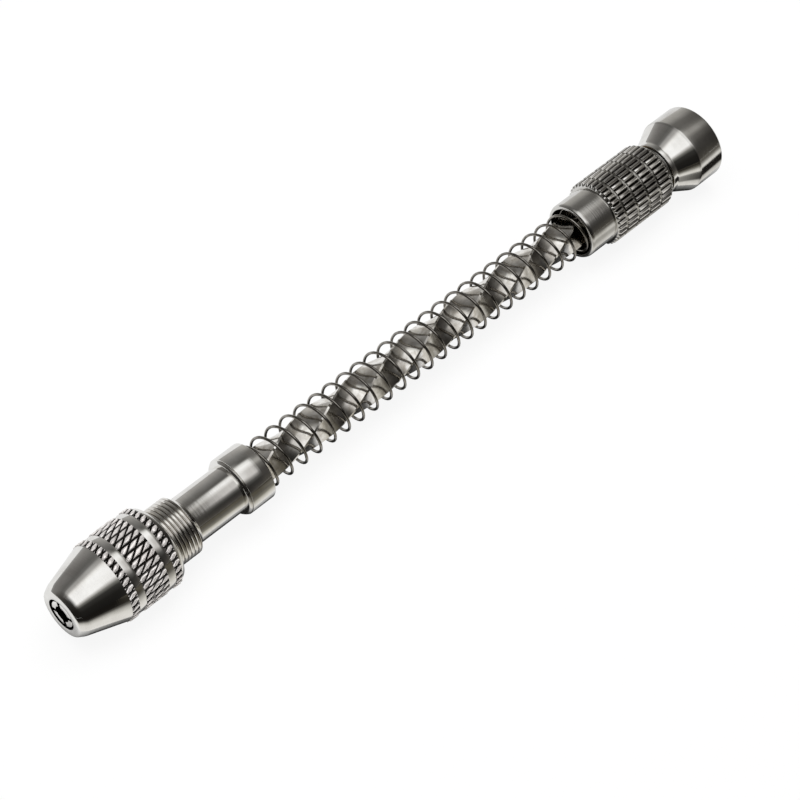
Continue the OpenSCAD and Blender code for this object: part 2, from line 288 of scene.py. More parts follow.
@dataclass(frozen=True)
class DrawnMetal:
    """Drawn steel, twisted cold or wound to a coil.

    Drawing leaves long faint streaks, and twisting opens mottled brown-grey patches between bright ones.

    Args:
        name: Common name of the metal and its finish.
        colour: Colour of the bright metal, sRGB hex.
        mottle: Colour of the mottled patches.
        roughness: Lowest and highest roughness.
        mottle_mm: Size of the patches.
        streak_mm: Width of the drawing streaks.
        streak_share: Width of a streak as a share of its length.
        streak_depth_mm: Depth of those streaks.
        dent_depth_mm: Depth of the shallow waves that go with the patches.
    """

    name: str
    colour: str
    mottle: str
    roughness: tuple[float, float]
    mottle_mm: float = 2.2
    streak_mm: float = 0.35
    streak_share: float = 0.12
    streak_depth_mm: float = 0.004
    dent_depth_mm: float = 0.05

    def build(self) -> Material:
        """Makes the material.

        Returns:
            The new material.
        """
        material, tree = new_material(self.name)
        centred, _, _ = ring_coordinates(tree)
        patches = add_node(tree, "TexNoise", {
            "Vector": centred, "Scale": 1 / self.mottle_mm, "Detail": 5.0, "Roughness": 0.62, "Distortion": 0.6,
        }).outputs["Fac"]
        patchy = add_node(tree, "MapRange", {
            "Value": patches, "From Min": 0.42, "From Max": 0.68, "To Min": 0.0, "To Max": 1.0,
        }).outputs["Result"]
        long = add_node(tree, "Mapping", {
            "Vector": centred, "Scale": (self.streak_share, 1.0, 1.0),
        }).outputs["Vector"]
        streaks = add_node(tree, "TexNoise", {
            "Vector": long, "Scale": 1 / self.streak_mm, "Detail": 3.0, "Roughness": 0.6,
        }).outputs["Fac"]
        colour = add_node(tree, "Mix", {
            "Factor": patchy, 6: linear(self.colour), 7: linear(self.mottle),
        }, data_type="RGBA").outputs[2]
        rough = add_node(tree, "MapRange", {
            "Value": patches, "From Min": 0.3, "From Max": 0.7,
            "To Min": self.roughness[0], "To Max": self.roughness[1],
        }).outputs["Result"]
        dents = add_node(tree, "Bump", {
            "Strength": 1.0, "Distance": self.dent_depth_mm * MM, "Height": patches,
        }).outputs["Normal"]
        bump = add_node(tree, "Bump", {
            "Strength": 1.0, "Distance": self.streak_depth_mm * MM, "Height": streaks, "Normal": dents,
        }).outputs["Normal"]
        shader = add_node(tree, "BsdfPrincipled", {
            "Base Color": colour, "Metallic": 1.0, "Roughness": rough, "Normal": bump,
        })
        add_node(tree, "OutputMaterial", {"Surface": shader.outputs["BSDF"]})
        return material


@dataclass(frozen=True)
class Corner:
    """Corner of a turned outline.

    Args:
        x: Place along the axis.
        r: Radius.
        rounding: Length along each side that a rounding takes off, or nothing for a sharp corner.
    """

    x: float
    r: float
    rounding: float = 0.0


def everything(bm: BMesh) -> list[Any]:
    """All vertices, edges and faces of a shape."""
    return bm.verts[:] + bm.edges[:] + bm.faces[:]


def chain(bm: BMesh, points: list[tuple[float, float]]) -> list[BMVert]:
    """Draws a chain of edges beside the axis.

    Args:
        bm: Shape that takes it.
        points: Place along the axis and radius of each point, in order.

    Returns:
        Its vertices.
    """
    verts = [bm.verts.new((x, 0.0, r)) for x, r in points]
    for pair in zip(verts, verts[1:]):
        bm.edges.new(pair)
    return verts


def turn_by(bm: BMesh, verts: list[BMVert], degrees: float) -> None:
    """Turns vertices about the axis."""
    bmesh.ops.rotate(bm, verts=verts, matrix=Matrix.Rotation(math.radians(degrees), 3, AXIS))


def lathe(outline: list[Corner], closed: bool = True, steps: int = LATHE_STEPS) -> BMesh:
    """Turns an outline about the tool's axis.

    Args:
        outline: Its corners, in order.
        closed: Whether the last corner joins the first. An outline that starts and ends on the axis doesn't.
        steps: Steps around the axis.

    Returns:
        The turned shape.
    """
    bm = bmesh.new()
    verts = chain(bm, [(corner.x, corner.r) for corner in outline])
    if closed:
        bm.edges.new((verts[-1], verts[0]))
    for corner, vert in zip(outline, verts):
        if corner.rounding:
            bmesh.ops.bevel(bm, geom=[vert], offset=corner.rounding, affect="VERTICES", segments=ROUND_STEPS,
                            profile=0.5, material=-1)
    bmesh.ops.spin(bm, geom=everything(bm), axis=AXIS, angle=FULL_TURN, steps=steps, use_merge=True)
    return cleaned(bm)


def cleaned(bm: BMesh) -> BMesh:
    """Merges doubled vertices and turns all faces outwards.

    Args:
        bm: Shape to clean.

    Returns:
        The same shape.
    """
    bmesh.ops.remove_doubles(bm, verts=bm.verts[:], dist=MERGE_MM)
    bmesh.ops.recalc_face_normals(bm, faces=bm.faces[:])
    return bm


def smooth(bm: BMesh) -> BMesh:
    """Shades a shape smooth, apart from its sharp edges.

    Args:
        bm: Shape to shade.

    Returns:
        The same shape.
    """
    for face in bm.faces:
        face.smooth = True
    for edge in bm.edges:
        edge.smooth = len(edge.link_faces) == 2 and edge.calc_face_angle(0.0) < math.radians(SHARP_DEG)
    return bm


def joined(shapes: list[tuple[BMesh, int]]) -> BMesh:
    """Joins shapes to one, each with its own finish.

    Args:
        shapes: Shapes, each with the lowest number that its finishes have.

    Returns:
        One shape. The others are freed.
    """
    whole = bmesh.new()
    for shape, number in shapes:
        for face in shape.faces:
            face.material_index = max(number, face.material_index)
        part = bpy.data.meshes.new("part")
        shape.to_mesh(part)
        shape.free()
        whole.from_mesh(part)
        bpy.data.meshes.remove(part)
    return whole


def place(name: str, bm: BMesh, body: Body, slot: Slot, finishes: list[Material], *nodes: str) -> Object:
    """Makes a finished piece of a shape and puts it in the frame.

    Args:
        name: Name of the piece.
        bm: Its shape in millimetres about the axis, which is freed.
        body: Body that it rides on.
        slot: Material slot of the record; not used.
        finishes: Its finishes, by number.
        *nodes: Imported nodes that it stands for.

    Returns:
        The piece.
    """
    bmesh.ops.translate(bm, verts=bm.verts[:], vec=(0.0, 0.0, AXIS_HEIGHT))
    bmesh.ops.scale(bm, verts=bm.verts[:], vec=(MM, MM, MM))
    mesh = bpy.data.meshes.new(name)
    bm.to_mesh(mesh)
    bm.free()
    for finish in finishes:
        mesh.materials.append(finish)
    piece = linked(name, mesh)
    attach(piece, body.value)
    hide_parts(*nodes)
    return piece


def number_inside(bm: BMesh, number: int, radius: float) -> BMesh:
    """Gives another finish to the faces inside a radius that look toward the axis.

    Args:
        bm: Shape to finish.
        number: Number of the finish.
        radius: Faces that lie nearer the axis than this are finished.

    Returns:
        The same shape.
    """
    for face in bm.faces:
        middle = face.calc_center_median()
        across = Vector((0.0, middle.y, middle.z))
        if across.length < radius and across.dot(face.normal) < -INWARD * across.length:
            face.material_index = number
    return bm


def radial(vert: BMVert) -> float:
    """Distance of a vertex from the axis."""
    return math.hypot(vert.co.y, vert.co.z)


def set_radius(vert: BMVert, radius: float) -> None:
    """Moves a vertex to a radius, straight out from the axis."""
    share = radius / radial(vert)
    vert.co.y *= share
    vert.co.z *= share


def rim(bm: BMesh, x: float) -> list[BMEdge]:
    """Open edges of a shape at one place along the axis.

    Args:
        bm: Shape to search.
        x: Place along the axis.

    Returns:
        Its open edges there.
    """
    return [e for e in bm.edges if e.is_boundary and all(abs(v.co.x - x) < MERGE_MM for v in e.verts)]


def trimmed(bm: BMesh, front: float, rear: float, wall_r: float) -> BMesh:
    """Cuts a shell off at both ends and gives each end a wall toward the axis.

    Args:
        bm: Shell to trim.
        front: Place of the front cut.
        rear: Place of the rear cut.
        wall_r: Radius that the walls reach down to.

    Returns:
        The same shell.
    """
    for x, side in ((front, -1.0), (rear, 1.0)):
        bmesh.ops.bisect_plane(bm, geom=everything(bm), plane_co=(x, 0.0, 0.0), plane_no=(side, 0.0, 0.0),
                               clear_outer=True)
        for vert in bmesh.ops.extrude_edge_only(bm, edges=rim(bm, x))["geom"]:
            if isinstance(vert, BMVert):
                set_radius(vert, wall_r)
    return cleaned(bm)


def linked(name: str, data: Any) -> Object:
    """Makes an object and puts it in the scene."""
    thing = bpy.data.objects.new(name, data)
    bpy.context.scene.collection.objects.link(thing)
    return thing


@dataclass
class ChuckCap:
    """Chuck cap: nose cone, three diamond-knurled bands and two smooth grooves.

    Args:
        nose_face_r: Radius of the flat nose face.
        nose_rim_r: Radius where the cone starts.
        nose_rim_len: Depth of the rounded edge between them.
        face_round: Rounding of the face's edge.
        rim_round: Rounding where the cone starts.
        cone_len: Distance from the nose face to the first band.
        front_band: Width of the first band.
        mid_band: Width of the second band.
        groove_w: Width of a groove.
        groove_depth: Depth of a groove below the knurl's tips.
        bevel_len: Length of the rear bevel.
        bevel_h: Height of the rear bevel.
        hole_r: Radius of the hole in the nose.
        hole_round: Rounding of that hole's edge.
        hole_land: Length of the straight part of that hole.
        seat_r: Radius of the seat behind the hole.
        seat_len: Distance from the nose face to the end of the taper.
        bore_r: Radius of the threaded bore.
        bore_len: Distance from the nose face to that bore.
        knurl_count: Diamonds around the cap.
        knurl_pitch: Length of a diamond along the axis.
        knurl_lean: Turn of the diamonds around the axis, in degrees for each millimetre along it.
        knurl_depth: Depth of the knurl.
        knurl_flat: Share of a diamond's slopes that its blunted tip takes off, in percent.
        knurl_ridge: Height of the ridge along a blunted tip.
        knurl_shade_from: Share of the knurl's depth from which on its painted shade is black.
        knurl_unshaded: Share of that depth down to which it has no painted shade.
    """

    nose_face_r: float = 4.4
    nose_rim_r: float = 5.15
    nose_rim_len: float = 1.35
    face_round: float = 0.35
    rim_round: float = 0.3
    cone_len: float = 8.7
    front_band: float = 1.5
    mid_band: float = 4.8
    groove_w: float = 1.5
    groove_depth: float = 0.2
    bevel_len: float = 0.9
    bevel_h: float = 0.7
    hole_r: float = 2.9
    hole_round: float = 0.18
    hole_land: float = 0.6
    seat_r: float = 3.7
    seat_len: float = 5.95
    bore_r: float = 5.55
    bore_len: float = 7.4
    knurl_count: int = 34
    knurl_pitch: float = 3.8
    knurl_lean: float = -2.7
    knurl_depth: float = 0.36
    knurl_flat: float = 48.0
    knurl_ridge: float = 0.11
    knurl_shade_from: float = 0.7
    knurl_unshaded: float = 0.32

    def __post_init__(self) -> None:
        """Reads the cap's place from the frame."""
        self.at = span("chuck_cap")

    def bands(self) -> list[tuple[float, float]]:
        """Places where each knurled band starts and ends."""
        first = self.at.front + self.cone_len
        second = first + self.front_band + self.groove_w
        third = second + self.mid_band + self.groove_w
        return [(first, first + self.front_band), (second, second + self.mid_band),
                (third, self.at.rear - self.bevel_len)]

    def shell(self) -> BMesh:
        """Turns the cap without its knurl.

        Returns:
            The turned cap.
        """
        nose, rear = self.at.front, self.at.rear
        groove_r = self.at.radius - self.groove_depth
        under_r = self.at.radius - self.knurl_depth - self.groove_depth
        outline = [Corner(nose, self.nose_face_r, self.face_round),
                   Corner(nose + self.nose_rim_len, self.nose_rim_r, self.rim_round)]
        for start, end in self.bands():
            outline += [Corner(start, groove_r, BROKEN), Corner(start, under_r), Corner(end, under_r),
                        Corner(end, groove_r, BROKEN)]
        return lathe(outline + [
            Corner(rear, self.at.radius - self.bevel_h, EASED), Corner(rear, self.bore_r, SOFT),
            Corner(nose + self.bore_len, self.bore_r), Corner(nose + self.bore_len, self.seat_r),
            Corner(nose + self.seat_len, self.seat_r), Corner(nose + self.hole_land, self.hole_r),
            Corner(nose, self.hole_r, self.hole_round),
        ])

    def band(self, front: float, rear: float) -> BMesh:
        """Rolls a diamond knurl on one band.

        Valleys and tips take turns on a grid of half diamonds, and an edge along each valley makes every
        tip a four-sided pyramid. The pyramids are blunted to long rounded ridges.

        Args:
            front: Where the band starts.
            rear: Where it ends.

        Returns:
            The knurled band, with its end walls.
        """
        half = self.knurl_pitch / 2
        middle = (front + rear) / 2
        reach = math.ceil((rear - middle) / half)
        bm = bmesh.new()
        columns = range(-reach, reach + 1)
        chain(bm, [(middle + i * half, self.at.radius) for i in columns])
        around = 2 * self.knurl_count
        bmesh.ops.spin(bm, geom=everything(bm), axis=AXIS, angle=FULL_TURN, steps=around, use_merge=True)
        cleaned(bm)
        valleys, tips = [], []
        for vert in bm.verts:
            row = round(math.atan2(vert.co.y, vert.co.z) / FULL_TURN * around)
            (tips if (row + round((vert.co.x - middle) / half)) % 2 else valleys).append(vert)
        low = self.at.radius - self.knurl_depth
        peak = low + self.knurl_depth / (1 - self.knurl_flat / 100)
        for radius, group in ((low, valleys), (peak, tips)):
            for vert in group:
                set_radius(vert, radius)
        for i in columns:
            column = [vert for vert in bm.verts if round((vert.co.x - middle) / half) == i]
            turn_by(bm, column, self.knurl_lean * i * half)
        bmesh.ops.connect_verts(bm, verts=valleys)
        blunt = bmesh.ops.bevel(bm, geom=[v for v in tips if not v.is_boundary], offset=self.knurl_flat,
                                offset_type="PERCENT", affect="VERTICES", segments=1, profile=0.5, material=-1)
        ends = []
        for face in blunt["faces"]:
            first, *sides, last = sorted(face.verts, key=lambda vert: vert.co.x)
            ends += [first, last]
            for vert in sides:
                set_radius(vert, self.at.radius - self.knurl_ridge)
        for ridge in bmesh.ops.connect_verts(bm, verts=ends)["edges"]:
            for face in ridge.link_faces:
                face.smooth = True
        return trimmed(bm, front, rear, low - self.groove_depth)

    def build(self, plate: Material, knurl: Material, bore: Material) -> list[Object]:
        """Builds and dresses the cap.

        Args:
            plate: Finish of the turned faces.
            knurl: Finish of the knurl.
            bore: Finish of the inside, painted black as shade.

        Returns:
            The one piece.
        """
        # Painted shade: faces inside the cap take the black inside finish.
        shapes = [(number_inside(smooth(self.shell()), 2, self.bore_r + self.groove_depth), 0)]
        shapes += [(self.band(front, rear), 1) for front, rear in self.bands()]
        return [place("cap_with_knurl", joined(shapes), Body.CAP, Slot.PLATE, [plate, knurl, bore], "chuck_cap")]


@dataclass
class Collet:
    """Collet: jaws around a bore, on a plain shank.

    Args:
        jaws: Number of jaws.
        bore_r: Radius of the bore between the jaws.
        skin: Depth to which faces beside the bore count as its wall.
        head_r: Radius of the tapered head where it is widest.
        head_len: Length of the head.
        face_r: Radius of the jaws' front faces.
        tip_r: Radius of the jaws behind the chamfer of their tips.
        tip_len: Length of that chamfer.
        reach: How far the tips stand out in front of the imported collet, nearly flush with the nose.
        shank_r: Radius of the shank.
        shank_round: Rounding of the shank's end.
        slot_w: Width of the slots between the jaws.
        slot_len: Length of the slots.
        slot_turn: Turn of the slots about the axis, in degrees.
    """

    jaws: int = 4
    bore_r: float = 1.5
    skin: float = 0.1
    head_r: float = 3.6
    head_len: float = 5.6
    face_r: float = 2.5
    tip_r: float = 2.8
    tip_len: float = 0.6
    reach: float = 0.2
    shank_r: float = 3.0
    shank_round: float = 0.3
    slot_w: float = 0.75
    slot_len: float = 13.0
    slot_turn: float = 76.0

    def __post_init__(self) -> None:
        """Reads the collet's place from the frame."""
        self.at = span("collet")

    def jaw(self, number: int) -> BMesh:
        """Makes one jaw: a quarter of the turned head, cut back to leave half a slot on each side.

        Args:
            number: Which of the jaws.

        Returns:
            The jaw.
        """
        front, back = self.at.front - self.reach, self.at.front + self.slot_len
        head = self.at.front + self.head_len
        outline = [
            Corner(front, self.bore_r, FINE), Corner(front, self.face_r, CRISP),
            Corner(front + self.tip_len, self.tip_r), Corner(head, self.head_r, SOFT), Corner(head, self.shank_r),
            Corner(back, self.shank_r), Corner(back, self.bore_r),
        ]
        bm = number_inside(smooth(lathe(outline)), 1, self.bore_r + self.skin)
        # Painted shade: the outer faces of each tip's chamfer take the black inside finish.
        for face in bm.faces:
            middle = face.calc_center_median()
            if middle.x < front + self.tip_len and math.hypot(middle.y, middle.z) > self.face_r:
                face.material_index = 1
        for side in ((0.0, -1.0, 0.0), (0.0, 0.0, -1.0)):
            cut = bmesh.ops.bisect_plane(bm, geom=everything(bm), plane_no=side,
                                         plane_co=-Vector(side) * self.slot_w / 2, clear_outer=True)
            edges = [e for e in cut["geom_cut"] if isinstance(e, BMEdge)]
            # Painted shade: the slot walls take the black inside finish.
            for face in bmesh.ops.contextual_create(bm, geom=edges)["faces"]:
                face.material_index = 1
            for edge in edges:
                edge.smooth = False
        turn_by(bm, bm.verts[:], self.slot_turn + number * 360 / self.jaws)
        return cleaned(bm)

    def build(self, steel: Material, bore: Material) -> list[Object]:
        """Builds and dresses the collet.

        Args:
            steel: Finish of the collet.
            bore: Finish of the bore, the slots and the tips' chamfers, painted black as shade.

        Returns:
            The one piece.
        """
        back = self.at.front + self.slot_len
        shank = lathe([
            Corner(back, self.bore_r), Corner(back, self.shank_r),
            Corner(self.at.rear, self.shank_r, self.shank_round), Corner(self.at.rear, self.bore_r, SOFT),
        ])
        shapes = [(self.jaw(number), 0) for number in range(self.jaws)]
        shapes.append((number_inside(smooth(shank), 1, self.bore_r + self.skin), 0))
        return [place("collet_jaws", joined(shapes), Body.COLLET, Slot.COLLET, [steel, bore], "collet")]


@dataclass
class ChuckBody:
    """Chuck body: a threaded head and a smooth stem, with the collar that the spring starts from.

    Args:
        pitch: Pitch of the thread.
        depth: Depth of the thread.
        crest_w: Width of the flat on a crest.
        runout: Length of the cone that ends the thread.
        thread_end: Distance from the front of the head to the end of that cone.
        stem_r: Radius of the stem.
        spigot_r: Radius of the spigot inside the collar.
        bore_r: Radius of the bore for the collet.
        bore_len: Length of that bore.
        tenon_r: Radius of the bore for the shaft's tenon.
        tenon_len: Length of that bore.
        collar_bevel: Bevel at the collar's front edge.
        collar_step: Height by which the bevelled ring stays below the collar.
        collar_line: Width of the fine groove behind that ring.
        thread_steps: Steps in one turn of the thread.
        thread_unshaded: Share of the thread's depth down to which it has no painted shade.
    """

    pitch: float = 0.75
    depth: float = 0.2
    crest_w: float = 0.38
    runout: float = 0.9
    thread_end: float = 17.3
    stem_r: float = 4.4
    spigot_r: float = 3.9
    bore_r: float = 3.05
    bore_len: float = 16.55
    tenon_r: float = 2.3
    tenon_len: float = 9.0
    collar_bevel: float = 0.45
    collar_step: float = 0.1
    collar_line: float = 0.16
    thread_steps: int = 96
    thread_unshaded: float = 0.4

    def __post_init__(self) -> None:
        """Reads the places of body and collar from the frame."""
        self.at = span("chuck_body")
        self.collar = span("spring_collar")

    @property
    def root_r(self) -> float:
        """Radius at the bottom of the thread."""
        return self.at.radius - self.depth

    def core(self) -> BMesh:
        """Turns the body without its thread.

        Returns:
            The turned body.
        """
        front, rear = self.at.front, self.at.rear
        end = front + self.thread_end
        under_r = self.root_r - self.crest_w
        return lathe([
            Corner(rear - self.tenon_len, 0.0), Corner(rear - self.tenon_len, self.tenon_r),
            Corner(rear, self.tenon_r), Corner(rear, self.spigot_r), Corner(self.collar.front, self.spigot_r),
            Corner(self.collar.front, self.stem_r), Corner(end, self.stem_r, EASED),
            Corner(end - self.runout, self.at.radius, CRISP), Corner(end - self.runout, under_r),
            Corner(front, under_r), Corner(front, self.bore_r), Corner(front + self.bore_len, self.bore_r),
            Corner(front + self.bore_len, 0.0),
        ], closed=False)

    def thread(self) -> BMesh:
        """Cuts the thread: one tooth's outline, spun along a right-hand helix and trimmed at both ends.

        Returns:
            The helical thread.
        """
        front, end = self.at.front + self.depth, self.at.front + self.thread_end - self.runout
        flank = (self.pitch - self.crest_w) / 2
        turns = math.ceil((end - front) / self.pitch) + 2
        start = front - self.pitch
        bm = bmesh.new()
        chain(bm, [(start, self.at.radius), (start + flank, self.root_r), (start + 2 * flank, self.at.radius),
                   (start + self.pitch, self.at.radius)])
        bmesh.ops.spin(bm, geom=everything(bm), axis=AXIS, angle=FULL_TURN * turns,
                       steps=self.thread_steps * turns, dvec=AXIS * self.pitch / self.thread_steps)
        bmesh.ops.remove_doubles(bm, verts=bm.verts[:], dist=10 * MERGE_MM)
        return trimmed(bm, front, end, self.root_r - self.crest_w)

    def build(self, plate: Material, thread: Material) -> list[Object]:
        """Builds and dresses body and collar.

        Args:
            plate: Finish of the turned faces.
            thread: Finish of the thread.

        Returns:
            The two pieces.
        """
        shapes = [(smooth(self.core()), 0), (smooth(self.thread()), 1)]
        body = place("chuck_stem", joined(shapes), Body.SPINDLE, Slot.PLATE, [plate, thread], "chuck_body")
        front, rear, radius = self.collar.front, self.collar.rear, self.collar.radius
        ring = lathe([
            Corner(front, self.spigot_r), Corner(front, radius - self.collar_bevel, CRISP),
            Corner(front + self.collar_bevel, radius - self.collar_step, FINE),
            Corner(front + self.collar_bevel + self.collar_line / 2, radius - 2 * self.collar_line),
            Corner(front + self.collar_bevel + self.collar_line, radius, BROKEN), Corner(rear, radius, EASED),
            Corner(rear, self.spigot_r),
        ])
        collar = place("collar_ring", smooth(ring), Body.SPINDLE, Slot.PLATE, [plate], "spring_collar")
        return [body, collar]


@dataclass
class SpiralShaft:
    """Twisted square shaft with the return spring around it.

    Args:
        width: Width across the flats.
        lead: Length in which it twists once round, as a left-hand screw.
        turn: Turn of its edges where it leaves the collar, in degrees.
        step: Length of one step of the twist.
        crown: Height by which the rolled sides stand out in their middle.
        side_cuts: Cuts across a side.
        tenon_r: Radius of the tenon in the stem.
        journal_r: Radius of the journal under the knob.
        wire_d: Diameter of the spring's wire.
        spring_turn: Turn of the coil's front end about the axis, in degrees.
        pitch: Distance from coil to coil.
        gap: Clearance of the end coils.
        coil_steps: Steps in one turn of the spring.
        wire_sides: Sides of the wire.
    """

    width: float = 4.85
    lead: float = 50.0
    turn: float = 46.0
    step: float = 0.3
    crown: float = 0.1
    side_cuts: int = 5
    tenon_r: float = 2.3
    journal_r: float = 2.0
    wire_d: float = 0.52
    spring_turn: float = 106.0
    pitch: float = 3.35
    gap: float = 0.05
    coil_steps: int = 36
    wire_sides: int = 12

    def __post_init__(self) -> None:
        """Reads the places of shaft and spring from the frame."""
        self.at = span("spiral_shaft")
        self.coil = span("return_spring")
        self.front = span("spring_collar").rear
        self.rear = span("thrust_washer").front

    def bar(self) -> BMesh:
        """Twists the square bar.

        Returns:
            The twisted bar.
        """
        flat = self.width / 2
        cut = self.at.radius * math.sqrt(2) - flat
        bm = bmesh.new()
        bmesh.ops.create_circle(bm, segments=4, radius=self.width / math.sqrt(2), cap_ends=True)
        bmesh.ops.rotate(bm, verts=bm.verts[:], matrix=Matrix.Rotation(math.pi / 4, 3, "Z"))
        bmesh.ops.bevel(bm, geom=bm.verts[:], offset=flat - cut, affect="VERTICES", segments=1, profile=0.5,
                        material=-1)
        sides = [edge for edge in bm.edges if edge.calc_length() > flat]
        bmesh.ops.subdivide_edges(bm, edges=sides, cuts=self.side_cuts)
        for vert in bm.verts:
            across, out = sorted((0, 1), key=lambda i: abs(vert.co[i]))
            rise = self.crown * (1 - (vert.co[across] / cut) ** 2)
            vert.co[out] += math.copysign(rise, vert.co[out])
        bmesh.ops.rotate(bm, verts=bm.verts[:], matrix=Matrix.Rotation(math.pi / 2, 3, "Y"))
        turn_by(bm, bm.verts[:], self.turn + 45.0)
        bmesh.ops.translate(bm, verts=bm.verts[:], vec=(self.front, 0.0, 0.0))
        length = self.rear - self.front
        steps = math.ceil(length / self.step)
        bmesh.ops.spin(bm, geom=everything(bm), axis=AXIS, angle=-FULL_TURN * length / self.lead, steps=steps,
                       dvec=AXIS * length / steps)
        return cleaned(bm)

    def helix(self, bm: BMesh, ends: list[Any], turns: float, rise: float) -> list[Any]:
        """Winds the wire on, from its free end.

        Args:
            bm: Spring so far.
            ends: Vertices and edges of its free end.
            turns: Turns to wind.
            rise: Length that one turn climbs.

        Returns:
            Vertices and edges of the new free end.
        """
        steps = round(turns * self.coil_steps)
        return bmesh.ops.spin(bm, geom=ends, axis=AXIS, angle=FULL_TURN * turns, steps=steps,
                              dvec=AXIS * rise * turns / steps)["geom_last"]

    def spring(self) -> BMesh:
        """Winds the return spring: one closed turn, the open coils, and one closed turn.

        Returns:
            The spring.
        """
        closed_rise = self.wire_d + self.gap
        open_len = self.coil.length - self.wire_d - 2 * closed_rise
        coil_r = self.coil.radius - self.wire_d / 2
        bm = bmesh.new()
        section = bmesh.ops.create_circle(bm, segments=self.wire_sides, radius=self.wire_d / 2)["verts"]
        bmesh.ops.rotate(bm, verts=section, matrix=Matrix.Rotation(math.pi / 2, 3, "X"))
        bmesh.ops.translate(bm, verts=section, vec=(self.coil.front + self.wire_d / 2, 0.0, coil_r))
        turn_by(bm, section, self.spring_turn - 90.0)
        last = self.helix(bm, everything(bm), 1.0, closed_rise)
        last = self.helix(bm, last, open_len / self.pitch, self.pitch)
        self.helix(bm, last, 1.0, closed_rise)
        bmesh.ops.holes_fill(bm, edges=[e for e in bm.edges if e.is_boundary], sides=self.wire_sides)
        return cleaned(bm)

    def build(self, steel: Material, wire: Material) -> list[Object]:
        """Builds and dresses shaft and spring.

        Args:
            steel: Finish of the shaft.
            wire: Finish of the spring.

        Returns:
            The two pieces.
        """
        tenon = lathe([Corner(self.at.front, 0.0), Corner(self.at.front, self.tenon_r, ROUND),
                       Corner(self.front, self.tenon_r), Corner(self.front, 0.0)], closed=False)
        journal = lathe([Corner(self.rear, 0.0), Corner(self.rear, self.journal_r),
                         Corner(self.at.rear, self.journal_r, ROUND), Corner(self.at.rear, 0.0)], closed=False)
        shapes = [(smooth(self.bar()), 0), (smooth(tenon), 0), (smooth(journal), 0)]
        shaft = place("twisted_shaft", joined(shapes), Body.SPINDLE, Slot.SHAFT, [steel], "spiral_shaft")
        coil = place("coil_spring", smooth(self.spring()), Body.SPINDLE, Slot.WIRE, [wire], "return_spring")
        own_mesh(coil)
        return [shaft, coil]


